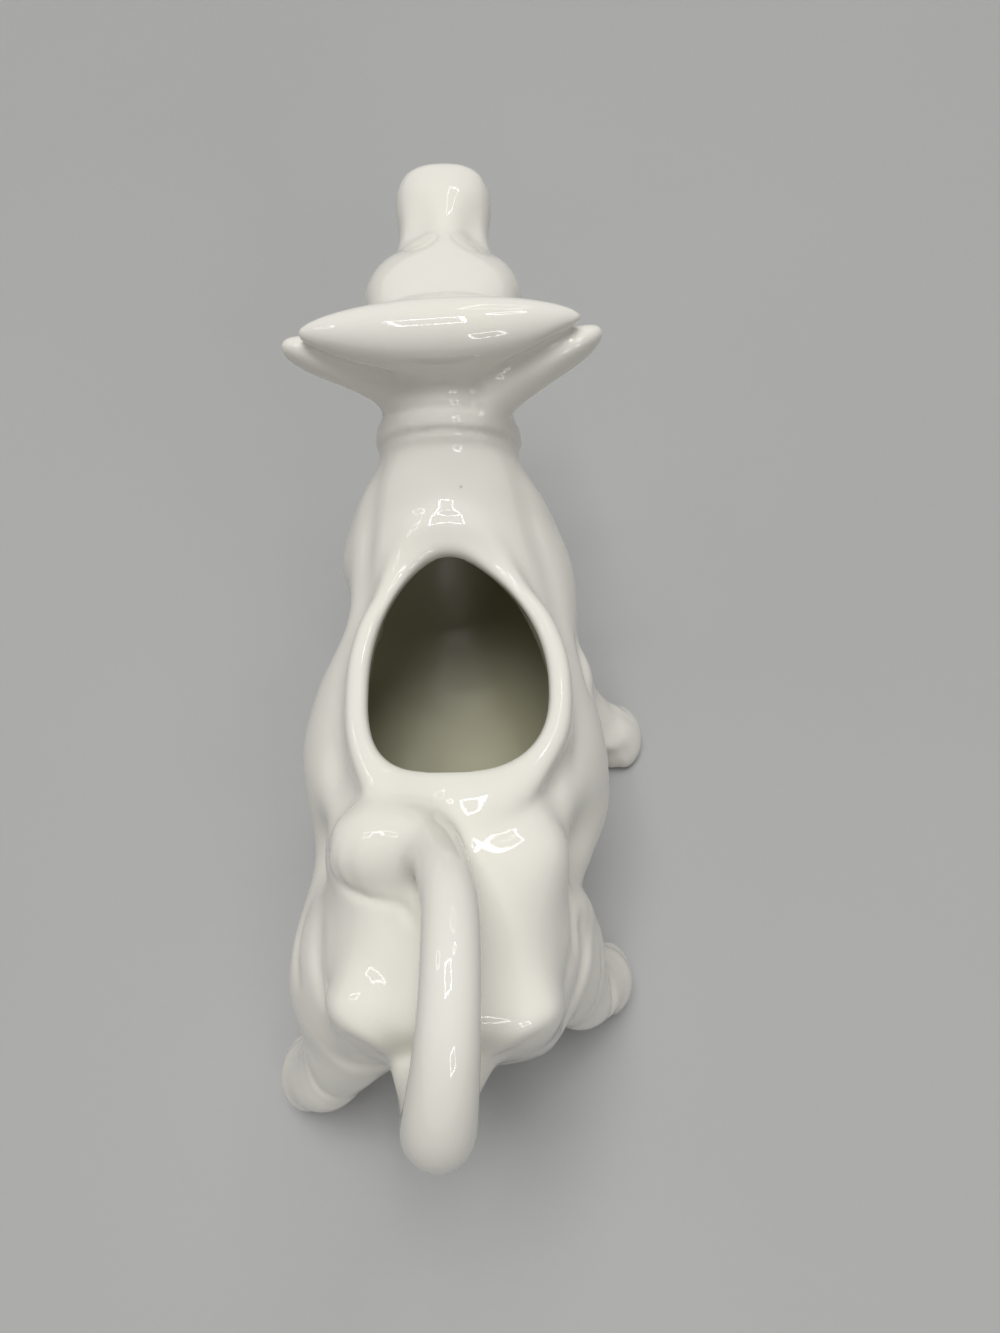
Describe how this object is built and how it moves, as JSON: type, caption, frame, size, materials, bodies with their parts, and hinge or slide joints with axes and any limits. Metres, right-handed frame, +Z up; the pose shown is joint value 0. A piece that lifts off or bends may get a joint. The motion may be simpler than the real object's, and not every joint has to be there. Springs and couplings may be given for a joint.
{
  "type": "cow creamer",
  "caption": "White glazed porcelain milk jug in the shape of a standing cow, filled through the open back, poured from the mouth and held by its arched tail.",
  "frame": {"origin": "on the surface it stands on, under the middle of the bounding box", "axes": "+Z up, +Y from the tail to the muzzle, +X towards the cow's right side"},
  "size_m": [0.0838, 0.1831, 0.1095],
  "materials": {
    "glaze": "gloss"
  },
  "bodies": {
    "root": {"body_shell": "glaze", "head": "glaze", "collar": "glaze", "horns": "glaze", "ear_left": "glaze", "ear_right": "glaze", "leg_front_left": "glaze", "leg_front_right": "glaze", "leg_rear_left": "glaze", "leg_rear_right": "glaze", "tail_handle": "glaze", "tail_tuft": "glaze"}
  },
  "joints": []
}
